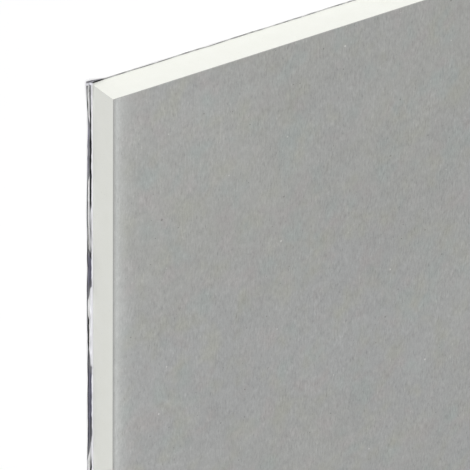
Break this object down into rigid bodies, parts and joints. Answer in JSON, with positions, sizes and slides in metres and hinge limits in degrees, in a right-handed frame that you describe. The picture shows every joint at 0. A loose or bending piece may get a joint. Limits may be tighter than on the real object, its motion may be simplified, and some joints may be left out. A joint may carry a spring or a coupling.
{
  "type": "foil-backed drywall sheet",
  "caption": "Flat drywall sheet with a grey paper face, a white gypsum core bare at its square-cut edges, and a crinkled metallised foil backing.",
  "frame": {"origin": "middle of the sheet's underside, on the floor that it lies on", "axes": "+X across the width, +Y along the length, +Z out of the papered face"},
  "size_m": [1.2028, 2.4006, 0.0125],
  "materials": {
    "face_paper": "matte grey recycled paper, finely mottled along its length",
    "gypsum": "matte off-white plaster",
    "foil": "crinkled metallised film, dark and bluish in its creases"
  },
  "bodies": {
    "root": {"face_paper": "face_paper", "gypsum_core": "gypsum", "foil_backing": "foil"}
  },
  "joints": []
}
